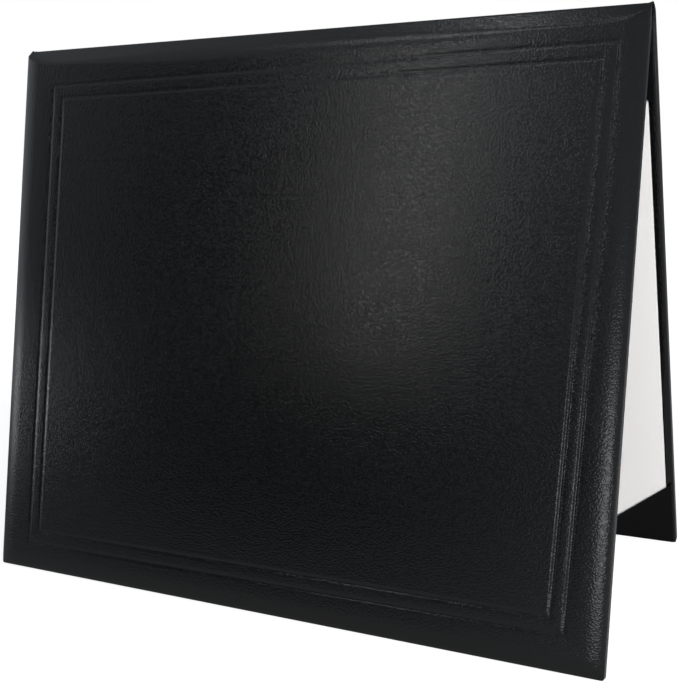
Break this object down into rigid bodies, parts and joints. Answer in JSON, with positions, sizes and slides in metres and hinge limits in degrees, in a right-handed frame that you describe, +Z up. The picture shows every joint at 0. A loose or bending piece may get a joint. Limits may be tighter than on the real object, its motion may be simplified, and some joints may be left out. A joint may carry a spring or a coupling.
{
  "type": "diploma cover",
  "caption": "Padded tent-fold diploma cover: two leatherette-wrapped boards joined by a fold at the top, a pressed line frame on the front, and a blank sheet held in corner pockets inside.",
  "frame": {"origin": "on the ground under the middle of the fold, at the bottom centre of the bounding box", "axes": "+Z up, X along the fold, the front cover faces -Y and the back cover faces +Y"},
  "size_m": [0.286, 0.1252, 0.2272],
  "materials": {
    "leatherette": "black coated leatherette, fine grain, satin",
    "lining": "black lining cloth on paper",
    "greyboard": "raw grey bookbinding board",
    "foam": "open soft foam sheet",
    "sheet": "plain uncoated white paper"
  },
  "bodies": {
    "back_cover": {"back_skin": "leatherette", "back_pad": "foam", "back_board": "greyboard", "back_lining": "lining", "fold_skin": "leatherette", "sheet": "sheet", "pocket_lower_left": "lining", "pocket_lower_right": "lining", "pocket_upper_left": "lining", "pocket_upper_right": "lining"},
    "front_cover": {"front_skin": "leatherette", "front_pad": "foam", "front_board": "greyboard", "front_lining": "lining"}
  },
  "joints": [
    {"name": "cover_fold", "type": "hinge", "parent": "back_cover", "child": "front_cover", "pos_m": [0, 0, 0.22275], "axis": [-1, 0, 0], "range_deg": [-29.1, 150.8], "deforming": ["fold_skin"]}
  ]
}
